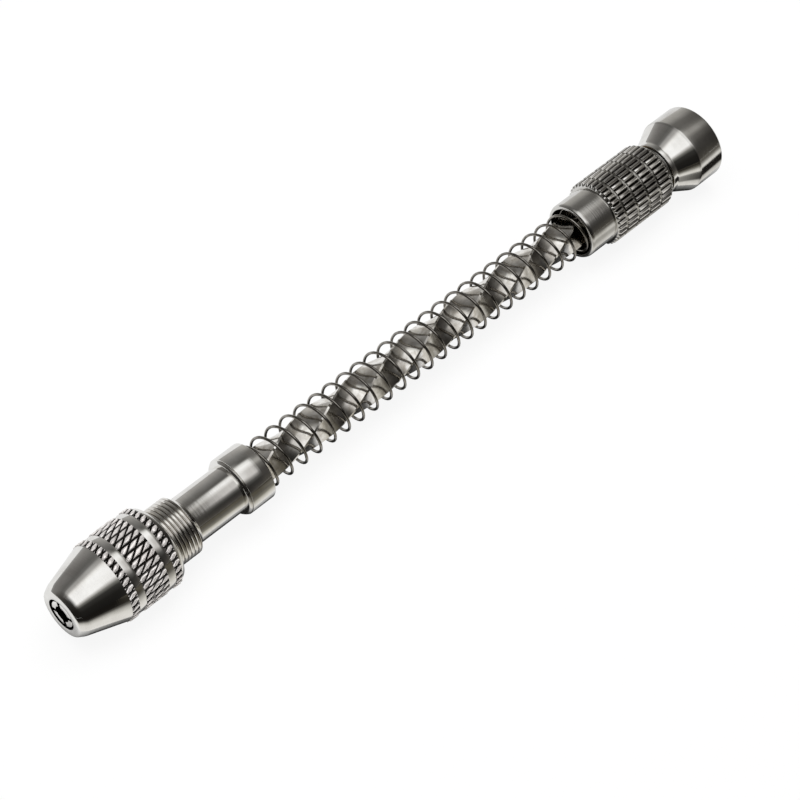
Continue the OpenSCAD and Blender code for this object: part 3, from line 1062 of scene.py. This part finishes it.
@dataclass
class Grip:
    """Sliding grip: a smooth tube with a rounded mouth, and a straight-knurled sleeve with ring grooves.

    Args:
        wall: Wall of the tube.
        land: Width of the flat ring at the mouth's hole.
        lip: Length of the rounding around that ring.
        lip_steps: Steps of that rounding.
        teeth: Teeth around the sleeve.
        tooth_depth: Depth of the teeth.
        tooth_steps: Steps across one tooth.
        valley: Share of the tooth's wave that stays at the root.
        tooth_top: Share of the wave above which a tooth is full height.
        tooth_unshaded: Share of the teeth's depth down to which they have no painted shade.
        ring_start: Distance from the sleeve's front to its first ring groove.
        ring_count: Number of ring grooves.
        ring_pitch: Distance from groove to groove.
        ring_w: Width of a groove.
        ring_depth: Depth of a groove below the teeth.
        front_bevel: Length of the front bevel.
        front_round: Rounding of the front edge.
        bevel_len: Length of the rear bevel.
        bevel_h: Height of the rear bevel.
        steep: Share of a face's normal along the axis, from which on it counts as an end face.
    """

    wall: float = 0.75
    land: float = 0.28
    lip: float = 0.8
    lip_steps: int = 8
    teeth: int = 36
    tooth_depth: float = 0.35
    tooth_steps: int = 8
    valley: float = 0.5
    tooth_top: float = 0.82
    tooth_unshaded: float = 0.5
    ring_start: float = 2.1
    ring_count: int = 4
    ring_pitch: float = 3.1
    ring_w: float = 0.45
    ring_depth: float = 0.1
    front_bevel: float = 0.4
    front_round: float = 0.06
    bevel_len: float = 0.9
    bevel_h: float = 0.65
    steep: float = 0.5

    def __post_init__(self) -> None:
        """Reads the places of tube and sleeve from the frame."""
        self.tube = span("grip_tube")
        self.sleeve = span("grip_sleeve")

    def tube_shape(self) -> BMesh:
        """Turns the tube.

        Returns:
            The tube.
        """
        front, rear = self.tube.front, self.tube.rear
        bore_r = self.tube.radius - self.wall
        land_r = bore_r + self.land
        lip = [Corner(front, bore_r, BROKEN)]
        for i in range(self.lip_steps + 1):
            slope = math.pi / 2 * i / self.lip_steps
            rise = (self.tube.radius - land_r) * math.sin(slope)
            lip.append(Corner(front + self.lip * (1 - math.cos(slope)), land_r + rise))
        return lathe(lip + [Corner(rear, self.tube.radius), Corner(rear, bore_r)])

    def sleeve_shape(self) -> BMesh:
        """Turns the sleeve with its ring grooves, then rolls the straight teeth into it.

        Returns:
            The sleeve.
        """
        front, rear, top = self.sleeve.front, self.sleeve.rear, self.sleeve.radius
        root = top - self.tooth_depth
        ring = root - self.ring_depth
        outline = [Corner(front, ring - self.ring_depth, self.front_round),
                   Corner(front + self.front_bevel, top, FINE)]
        for i in range(self.ring_count):
            x = front + self.ring_start + i * self.ring_pitch
            outline += [Corner(x, top, CRISP), Corner(x, ring), Corner(x + self.ring_w, ring),
                        Corner(x + self.ring_w, top, CRISP)]
        outline += [Corner(rear - self.bevel_len, top, EASED), Corner(rear, top - self.bevel_h, FINE),
                    Corner(rear, self.tube.radius), Corner(front, self.tube.radius)]
        bm = lathe(outline, steps=self.teeth * self.tooth_steps)
        for vert in bm.verts:
            radius = radial(vert)
            if radius > root:
                wave = abs(math.sin(math.atan2(vert.co.y, vert.co.z) * self.teeth / 2))
                share = min(1.0, max(0.0, (wave - self.valley) / (self.tooth_top - self.valley)))
                set_radius(vert, root + (radius - root) * share)
        cleaned(bm)
        for face in bm.faces:
            middle = face.calc_center_median()
            outside = math.hypot(middle.y, middle.z) > root - self.ring_depth / 2
            face.material_index = int(outside and abs(face.normal.x) < self.steep)
        return bm

    def build(self, satin: Material, teeth: Material, bore: Material) -> list[Object]:
        """Builds and dresses tube and sleeve.

        Args:
            satin: Finish of the tube and of the sleeve's smooth faces.
            teeth: Finish of the sleeve's teeth.
            bore: Finish of the tube's inside, darkened as painted shade.

        Returns:
            The two pieces.
        """
        # Painted shade: the tube's inside faces take the darkened brown finish.
        shape = number_inside(smooth(self.tube_shape()), 1, self.tube.radius - self.wall / 2)
        tube = place("mouth_tube", shape, Body.GRIP, Slot.GRIP, [satin, bore], "grip_tube")
        sleeve = place("knurled_sleeve", smooth(self.sleeve_shape()), Body.GRIP, Slot.GRIP, [satin, teeth],
                       "grip_sleeve")
        return [tube, sleeve]


@dataclass
class EndKnob:
    """Free-turning end knob: neck, cone and cylinder, closed by a disc.

    Args:
        neck_r: Radius of the neck.
        neck_len: Length of the neck.
        cone_len: Length of the cone.
        edge: Bevel at the edges.
        bush_r: Radius of the bearing hole.
        bush_len: Length of the bearing hole.
        dish: Depth of the dish in the disc.
        dish_r: Radius of the dish.
    """

    neck_r: float = 5.3
    neck_len: float = 1.1
    cone_len: float = 3.8
    edge: float = 0.4
    bush_r: float = 3.2
    bush_len: float = 5.5
    dish: float = 0.25
    dish_r: float = 3.9

    def __post_init__(self) -> None:
        """Reads the places of knob and disc from the frame."""
        self.at = span("end_knob")
        self.disc = span("end_disc")

    def knob_shape(self) -> BMesh:
        """Turns the knob.

        Returns:
            The knob.
        """
        front, rear, radius = self.at.front, self.at.rear, self.at.radius
        cone = front + self.neck_len
        rim_x = cone + self.cone_len
        pocket = front + self.bush_len
        return lathe([
            Corner(front, self.neck_r, EASED), Corner(cone, self.neck_r, SOFT),
            Corner(rim_x, radius - self.edge / 2, FINE), Corner(rim_x + self.edge, radius, FINE),
            Corner(rear - self.edge, radius, EASED), Corner(rear, radius - self.edge, EASED),
            Corner(rear, self.disc.radius, FINE), Corner(pocket, self.disc.radius), Corner(pocket, self.bush_r),
            Corner(front, self.bush_r),
        ])

    def disc_shape(self) -> BMesh:
        """Turns the disc that closes the knob, with a shallow dish.

        Returns:
            The disc.
        """
        front, rear, radius = self.disc.front, self.disc.rear, self.disc.radius
        return lathe([
            Corner(front, 0.0), Corner(front, radius), Corner(rear, radius, SOFT), Corner(rear, self.dish_r, ROUND),
            Corner(rear - self.dish, self.dish_r - self.dish, ROUND), Corner(rear - self.dish, 0.0),
        ], closed=False)

    def build(self, plate: Material, satin: Material) -> list[Object]:
        """Builds and dresses knob and disc.

        Args:
            plate: Finish of neck and cone.
            satin: Finish of the cylinder and the disc.

        Returns:
            The two pieces.
        """
        shape = smooth(self.knob_shape())
        rim_x = self.at.front + self.neck_len + self.cone_len
        for face in shape.faces:
            face.material_index = int(face.calc_center_median().x > rim_x)
        knob = place("palm_knob", shape, Body.KNOB, Slot.PLATE, [plate, satin], "end_knob")
        disc = place("knob_disc", smooth(self.disc_shape()), Body.KNOB, Slot.PLATE, [satin], "end_disc")
        return [knob, disc]


@dataclass
class InnerHardware:
    """Pieces inside the tool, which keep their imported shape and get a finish.

    Args:
        brass: Nodes of brass.
        steel: Nodes of plain steel.
    """

    brass: tuple[str, ...] = ("drive_nut", "rear_guide", "knob_bush")
    steel: tuple[str, ...] = ("shaft_pin", "spring_washer", "nut_pin_1", "nut_pin_2", "nut_pin_3",
                              "thrust_washer", "knob_keeper", "knob_screw")

    def dress(self, brass: Material, steel: Material) -> list[Object]:
        """Gives each inner piece its finish.

        Args:
            brass: Finish of the bearings and the nut.
            steel: Finish of pins, washers and screw.

        Returns:
            The dressed pieces.
        """
        pieces = []
        for names, finish in ((self.brass, brass), (self.steel, steel)):
            for piece in (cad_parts[name] for name in names):
                for holder in piece.material_slots:
                    holder.material = finish
                pieces.append(piece)
        return pieces


@dataclass(frozen=True)
class Tones:
    """Row of tones along one measure, for strip lights or for cards that lie parallel to the tool.

    Args:
        stops: Place on the measure, and tone there.
        low: Where the measure starts.
        high: Where it ends.
    """

    stops: tuple[tuple[float, str], ...]
    low: float = -180.0
    high: float = 180.0

    def ramp(self, tree: NodeTree, measure: Any) -> Any:
        """Adds the tones as a colour ramp.

        Args:
            tree: Node tree that takes it.
            measure: Socket with the measure.

        Returns:
            Socket with the tone.
        """
        share = add_node(tree, "MapRange", {
            "Value": measure, "From Min": self.low, "From Max": self.high,
        }).outputs["Result"]
        ramp = add_node(tree, "ValToRGB", {"Fac": share})
        elements = ramp.color_ramp.elements
        elements.remove(elements[1])
        for number, (stop, tone) in enumerate(self.stops):
            where = (stop - self.low) / (self.high - self.low)
            element = elements[0] if number == 0 else elements.new(where)
            element.position = where
            element.color = linear(tone)
        return ramp.outputs["Color"]


@dataclass(frozen=True)
class Fade:
    """Change to another row of tones along the tool.

    Args:
        begin: Where the change begins.
        end: Where it ends.
        tones: Row of tones from there on.
    """

    begin: float
    end: float
    tones: Tones


def blended(tree: NodeTree, measure: Any, along: Any, first: Tones, fades: tuple[Fade, ...]) -> Any:
    """Blends rows of tones into one another along the tool.

    Args:
        tree: Node tree that takes the nodes.
        measure: Socket with the measure across the tool.
        along: Socket with the place along it.
        first: Row of tones to start from.
        fades: Changes to other rows.

    Returns:
        Socket with the tone.
    """
    tone = first.ramp(tree, measure)
    for fade in fades:
        share = add_node(tree, "MapRange", {
            "Value": along, "From Min": fade.begin, "From Max": fade.end,
        }).outputs["Result"]
        tone = add_node(tree, "Mix", {
            "Factor": share, 6: tone, 7: fade.tones.ramp(tree, measure),
        }, data_type="RGBA").outputs[2]
    return tone


# Seen by the straight sides near the nose, which look a little toward the knob's end.
TOWARD_KNOB = Tones((
    (-95.0, "ABAAA9"), (-80.0, "A6A4A1"), (-50.0, "7F7E7C"), (-24.0, "595856"), (-18.0, "6B6A67"),
    (-9.0, "EDEDEB"), (0.0, "FDFDFD"), (10.0, "E5E4E2"), (18.0, "CDCBC9"), (40.0, "CDCBC9"), (48.0, "918F8D"),
    (56.0, "575654"), (66.0, "353432"), (76.0, "383634"), (92.0, "4C4945"),
))
# Seen by the two cones, which look toward the nose's end: the same lights with more contrast.
TOWARD_NOSE = Tones((
    (-95.0, "9E9E9D"), (-80.0, "7A7876"), (-62.0, "72706E"), (-40.0, "5F5E5C"), (-30.0, "6C6B69"),
    (-24.0, "9E9D9B"), (-16.0, "AFADAB"), (-7.0, "F5F4F2"), (0.0, "FFFFFF"), (34.0, "FFFFFF"), (40.0, "C6C4C2"),
    (46.0, "767571"), (54.0, "343331"), (70.0, "201F1D"), (95.0, "181716"),
))
# Seen by the straight sides near the knob, which look farther along, where the lights fade.
FAR_KNOB = Tones((
    (-95.0, "C8C6C2"), (-75.0, "B0AEAA"), (-62.0, "A2A09C"), (-51.0, "888683"), (-42.0, "6F6D6A"),
    (-24.0, "696764"), (-14.0, "706E6B"), (-6.0, "82807C"), (0.0, "9E9C98"), (8.0, "A4A29E"), (16.0, "868480"),
    (23.0, "686663"), (31.0, "5E5C59"), (39.0, "4F4D4A"), (46.0, "444240"), (70.0, "413F3C"), (92.0, "504D47"),
))
# Beyond the ends of the lights, along the tool, the studio is dark.
BEYOND = Tones((
    (-95.0, "8C8A86"), (-60.0, "4A4845"), (0.0, "32302E"), (60.0, "1E1C1A"), (95.0, "1A1816"),
))
# Tones of the glowing cards in front of the tool, painted reflections of the surroundings, by the distance from its
# axis in millimetres: by the nose, the stem, the grip and the knob, where one strip is dark.
CARD_MM = 130.0
BY_NOSE = Tones((
    (8.0, "E8E6E3"), (14.0, "E2E0DC"), (19.0, "C4C2BD"), (27.0, "605E5A"), (36.0, "1E1C1A"), (60.0, "191715"),
), 0.0, CARD_MM)
BY_STEM = Tones((
    (7.0, "E8E6E3"), (10.0, "DAD8D3"), (12.5, "C4C1B8"), (16.5, "807D73"), (24.0, "63605A"), (40.0, "575349"),
), 0.0, CARD_MM)
BY_GRIP = Tones((
    (8.0, "E4E2DE"), (10.5, "D8D6D2"), (13.5, "B4B2AD"), (18.0, "ACAAA5"), (25.0, "D6D4CF"), (30.0, "CCCAC4"),
    (43.0, "8C8A84"), (60.0, "5C5952"), (120.0, "282622"),
), 0.0, CARD_MM)
BY_KNOB = Tones((
    (8.0, "E4E2DE"), (11.0, "CFCDC9"), (12.5, "201E1C"), (20.0, "1C1A19"), (22.0, "3A3835"), (25.0, "E6E4E0"),
    (32.0, "E6E4E0"), (45.0, "9A9893"), (70.0, "66635D"),
), 0.0, CARD_MM)


@dataclass
class Studio:
    """White table, strip-light studio and camera.

    Args:
        floor_m: Side of the table, in metres.
        glow: How much of the table's white is its own, so that only a faint shadow shows.
        sheen: Brightness of the table in reflections.
        contact: Height up to which the tool's painted contact shadow darkens the table under it, in reflections.
        contact_power: How fast that darkening grows.
        contact_rays: Rays that measure it.
        shade: Brightness of the shade right under the tool, in reflections.
        shade_len: Length of that shade.
        shade_w: Width of that shade.
        shade_edge: Half of the width of its soft edge.
        card_gap: Distance from the tool's axis to the cards in front of it.
        card_lift: Height of the cards above the table.
        lights: Changes of the lights' tones with the direction along the tool.
        cards: Changes of the cards' tones along the tool, in millimetres.
        lamp_size: Width and depth of the soft lamp, in metres.
        lamp_watts: Its power.
        lamp_place: Where it hangs, in metres.
        azimuth: Direction that the camera looks from, in degrees.
        elevation: Height of the camera above the table, in degrees.
        focal_px: Focal length in pixels of the image.
        image_px: Side of the image in pixels.
        sensor_mm: Width of the camera's sensor.
        nearest_m: Nearest distance that the camera sees, in metres.
        distance: Distance from the camera to the point that it aims at.
        aim_x: Place along the axis near that point.
        aim_right: How far the aim lies to the right of it in the image.
        aim_up: How far the aim lies above it in the image.
    """

    floor_m: float = 3.0
    glow: float = 0.9
    sheen: float = 0.8
    contact: float = 8.0
    contact_power: float = 3.0
    contact_rays: int = 8
    shade: float = 0.06
    shade_len: float = 150.0
    shade_w: float = 9.6
    shade_edge: float = 1.0
    card_gap: float = 8.0
    card_lift: float = 0.2
    lights: tuple[Fade, ...] = (
        Fade(0.0, 0.33, TOWARD_KNOB), Fade(0.44, 0.53, FAR_KNOB), Fade(0.62, 0.84, BEYOND),
        Fade(-0.42, -0.66, BEYOND),
    )
    cards: tuple[Fade, ...] = (Fade(-72.0, -46.0, BY_STEM), Fade(-25.0, 48.0, BY_GRIP), Fade(64.0, 72.0, BY_KNOB))
    lamp_size: tuple[float, float] = (0.9, 0.5)
    lamp_watts: float = 5.5
    lamp_place: tuple[float, float, float] = (0.0, 0.05, 0.7)
    azimuth: float = -45.05
    elevation: float = 49.5
    focal_px: float = 2442.5
    image_px: int = 800
    sensor_mm: float = 36.0
    nearest_m: float = 0.01
    distance: float = 422.6
    aim_x: float = -5.6
    aim_right: float = 3.33
    aim_up: float = -4.34

    def sheet(self, name: str, material: Material, half_m: float, *middle: float) -> Object:
        """Lays a square sheet level with the table.

        Args:
            name: Its name.
            material: Its material.
            half_m: Half of its side, in metres.
            *middle: Place of its middle, if not the origin, in metres.

        Returns:
            The sheet.
        """
        bm = bmesh.new()
        bmesh.ops.create_grid(bm, x_segments=1, y_segments=1, size=half_m)
        bmesh.ops.translate(bm, verts=bm.verts[:], vec=middle or (0.0, 0.0, 0.0))
        mesh = bpy.data.meshes.new(name)
        bm.to_mesh(mesh)
        bm.free()
        mesh.materials.append(material)
        sheet = linked(name, mesh)
        return sheet

    def floor(self) -> None:
        """Lays the white table."""
        material, tree = new_material("white table")
        path = add_node(tree, "LightPath")
        seen = add_node(tree, "Math", {
            0: path.outputs["Is Camera Ray"], 1: path.outputs["Is Glossy Ray"],
        }, operation="MAXIMUM").outputs["Value"]
        seen = add_node(tree, "Math", {
            0: seen, 1: path.outputs["Is Transmission Ray"],
        }, operation="MAXIMUM").outputs["Value"]
        share = add_node(tree, "Math", {0: seen, 1: self.glow}, operation="MULTIPLY").outputs["Value"]
        # Painted contact shadow: in reflections the table's glow dims where the tool hides it from the open space
        # around.
        open_sky = add_node(tree, "AmbientOcclusion", {"Distance": self.contact * MM}, samples=self.contact_rays)
        dimmed = add_node(tree, "Math", {
            0: open_sky.outputs["AO"], 1: self.contact_power,
        }, operation="POWER").outputs["Value"]
        # Painted shade: a dark strip right under the tool, seen only in reflections.
        spot = add_node(tree, "Mapping", {
            "Vector": add_node(tree, "TexCoord").outputs["Object"], "Scale": (1 / MM, 1 / MM, 1 / MM),
        }).outputs["Vector"]
        away = add_node(tree, "VectorMath", {0: spot}, operation="ABSOLUTE").outputs["Vector"]
        parts = add_node(tree, "SeparateXYZ", {"Vector": away})
        reach = {"X": self.shade_len / 2, "Y": self.shade_w / 2}
        beside, beyond = (add_node(tree, "MapRange", {
            "Value": parts.outputs[side], "From Min": half - self.shade_edge, "From Max": half + self.shade_edge,
            "To Min": self.shade,
        }, interpolation_type="SMOOTHSTEP").outputs["Result"] for side, half in reach.items())
        clear = add_node(tree, "Math", {0: beside, 1: beyond}, operation="MAXIMUM").outputs["Value"]
        bright = add_node(tree, "Math", {0: clear, 1: self.sheen}, operation="MULTIPLY").outputs["Value"]
        mirrored = add_node(tree, "Math", {0: dimmed, 1: bright}, operation="MULTIPLY").outputs["Value"]
        light = add_node(tree, "Math", {
            0: path.outputs["Is Camera Ray"], 1: mirrored,
        }, operation="MAXIMUM").outputs["Value"]
        paper = add_node(tree, "BsdfDiffuse", {"Color": linear("F4F4F4")})
        glow = add_node(tree, "Emission", {"Color": linear("FFFFFF"), "Strength": light})
        mixed = add_node(tree, "MixShader", {0: share, 1: paper.outputs["BSDF"], 2: glow.outputs["Emission"]})
        add_node(tree, "OutputMaterial", {"Surface": mixed.outputs["Shader"]})
        self.sheet("table", material, self.floor_m / 2)

    def world(self) -> None:
        """Hangs strip lights parallel to the tool: grey behind, bright overhead, dark toward the camera."""
        world = bpy.data.worlds.new("strip studio")
        bpy.context.scene.world = world
        world.use_nodes = True
        tree = world.node_tree
        tree.nodes.clear()
        parts = add_node(tree, "SeparateXYZ", {"Vector": add_node(tree, "TexCoord").outputs["Generated"]})
        side = add_node(tree, "Math", {0: parts.outputs["Y"], 1: -1.0}, operation="MULTIPLY").outputs["Value"]
        turn = add_node(tree, "Math", {0: side, 1: parts.outputs["Z"]}, operation="ARCTAN2").outputs["Value"]
        degrees = add_node(tree, "Math", {0: turn}, operation="DEGREES").outputs["Value"]
        tone = blended(tree, degrees, parts.outputs["X"], TOWARD_NOSE, self.lights)
        sky = add_node(tree, "Background", {"Color": tone, "Strength": 1.0})
        add_node(tree, "OutputWorld", {"Surface": sky.outputs["Background"]})

    def card(self) -> None:
        """Lays toned cards on the table in front of the tool, seen only in the metal's reflections."""
        # Painted reflections: the cards glow with these tones, and only the metal's reflections show them.
        material, tree = new_material("glowing reflection cards")
        spot = add_node(tree, "Mapping", {
            "Vector": add_node(tree, "TexCoord").outputs["Object"], "Scale": (1 / MM, -1 / MM, 1 / MM),
        }).outputs["Vector"]
        parts = add_node(tree, "SeparateXYZ", {"Vector": spot})
        tone = blended(tree, parts.outputs["Y"], parts.outputs["X"], BY_NOSE, self.cards)
        glow = add_node(tree, "Emission", {"Color": tone, "Strength": 1.0})
        add_node(tree, "OutputMaterial", {"Surface": glow.outputs["Emission"]})
        half = self.floor_m / 4
        card = self.sheet("card", material, half, 0.0, -half - self.card_gap * MM, self.card_lift * MM)
        card.visible_camera = card.visible_diffuse = card.visible_shadow = False

    def lamp(self) -> None:
        """Hangs one wide soft lamp over the table, which the metal doesn't mirror."""
        data = bpy.data.lights.new("soft box", "AREA")
        data.shape = "RECTANGLE"
        data.size, data.size_y = self.lamp_size
        data.energy = self.lamp_watts
        lamp = linked("soft box", data)
        lamp.location = self.lamp_place
        lamp.visible_glossy = False

    def camera(self) -> None:
        """Sets up the camera at the photograph's viewing angle."""
        turn, rise = math.radians(self.azimuth), math.radians(self.elevation)
        right = Vector((math.cos(turn), math.sin(turn), 0.0))
        back = Vector((math.sin(turn) * math.cos(rise), -math.cos(turn) * math.cos(rise), math.sin(rise)))
        up = back.cross(right)
        aim = Vector((self.aim_x, 0.0, AXIS_HEIGHT)) + self.aim_right * right + self.aim_up * up
        data = bpy.data.cameras.new("camera")
        data.sensor_fit = "HORIZONTAL"
        data.sensor_width = self.sensor_mm
        data.lens = self.focal_px * self.sensor_mm / self.image_px
        data.clip_start = self.nearest_m
        camera = linked("camera", data)
        pose = Matrix((right, up, back)).transposed().to_4x4()
        pose.translation = (aim + self.distance * back) * MM
        camera.matrix_world = pose
        bpy.context.scene.camera = camera

    def build(self) -> None:
        """Sets up the whole studio."""
        bpy.context.scene.view_settings.view_transform = "Standard"
        self.floor()
        self.card()
        self.world()
        self.lamp()
        self.camera()


def main() -> None:
    """Builds every sub-assembly in order, then the studio around it."""
    logging.basicConfig(level=logging.INFO, format="%(message)s")
    cap, body = ChuckCap(), ChuckBody()
    grip = Grip()
    # Bright nickel plate over turned steel: hard neutral reflections, with the lathe's fine rings across them.
    plate = TurnedMetal("bright nickel plate, turned", "F6F5F2", "E0DEDA", (0.05, 0.14),
                        ring_depth_mm=0.004).build()
    # The same plate on a rolled knurl: scuffed diamonds, white from any side, over black painted shade in the
    # valleys.
    knurl = TurnedMetal("bright nickel plate, knurled", "FFFBF9", "FAF3F0", (0.06, 0.14), ring_depth_mm=0.0,
                        full_shade_r=cap.at.radius - cap.knurl_shade_from * cap.knurl_depth,
                        unshaded_r=cap.at.radius - cap.knurl_unshaded * cap.knurl_depth, mirror=0.5).build()
    # The same plate on a cut thread: bright crests over roots painted brown as shade.
    thread = TurnedMetal("bright nickel plate, threaded", "F2F0EC", "DCD8D0", (0.1, 0.2), ring_depth_mm=0.0,
                         recess_shade="7A7064", full_shade_r=body.root_r,
                         unshaded_r=body.at.radius - body.thread_unshaded * body.depth).build()
    # Satin nickel plate: the same metal, brushed around, so that reflections blur to soft gradients.
    satin = TurnedMetal("satin nickel plate, turned", "E4E3E0", "D0CECA", (0.1, 0.18),
                        ring_depth_mm=0.004).build()
    # Satin plate on straight teeth: bright grey flats, roots painted black as shade.
    teeth = TurnedMetal("satin nickel plate, straight knurl", "FAF8F5", "D8D5D0", (0.14, 0.26), ring_depth_mm=0.0,
                        recess_shade="1E1C1A", full_shade_r=grip.sleeve.radius - grip.tooth_depth,
                        unshaded_r=grip.sleeve.radius - grip.tooth_unshaded * grip.tooth_depth).build()
    # Collet steel: ground and oiled, bright at the tips.
    jaws = TurnedMetal("ground collet steel", "FAF8F5", "E8E5E0", (0.12, 0.24)).build()
    # Inside faces, slots and jaw tip chamfers: steel painted black as shade, with nearly no reflection.
    bore = TurnedMetal("bored steel, painted shade black", "1A1917", "100F0E", (0.35, 0.5)).build()
    # The tube's inside: bored steel painted dark brown as shade, with dim reflections of spring and shaft.
    tube = TurnedMetal("bored steel, painted shade brown", "63594D", "3A342C", (0.14, 0.28)).build()
    # Cold drawn steel, twisted: bright facets with light brown-grey mottling and crisp blunted corners.
    drawn = DrawnMetal("cold drawn steel, twisted", "FAF8F4", "CFC9BF", (0.09, 0.18), mottle_mm=1.6,
                       dent_depth_mm=0.008).build()
    # Spring wire: dark drawn steel, with a light line along the top of each coil and black sides.
    wire = DrawnMetal("spring wire, drawn", "A4A09A", "78746D", (0.04, 0.09), mottle_mm=1.2,
                      dent_depth_mm=0.0).build()
    # Turned brass of the nut and bearings, brown with oil: dull yellow with fine tool rings.
    brass = TurnedMetal("turned brass, oiled", "6E5832", "54431F", (0.24, 0.38)).build()
    # Plain steel of pins, washers and screw: grey, slightly dull.
    steel = TurnedMetal("plain steel", "B5B4B2", "9C9A96", (0.24, 0.38)).build()
    pieces = [
        *cap.build(plate, knurl, bore), *Collet().build(jaws, bore), *body.build(plate, thread),
        *SpiralShaft().build(drawn, wire), *grip.build(satin, teeth, tube), *EndKnob().build(plate, satin),
        *InnerHardware().dress(brass, steel),
    ]
    for piece in pieces:
        LOG.info("%s: %d faces, %s", piece.name, len(piece.data.polygons), piece.material_slots[0].name)
    Studio().build()


if __name__ == "__main__":
    main()
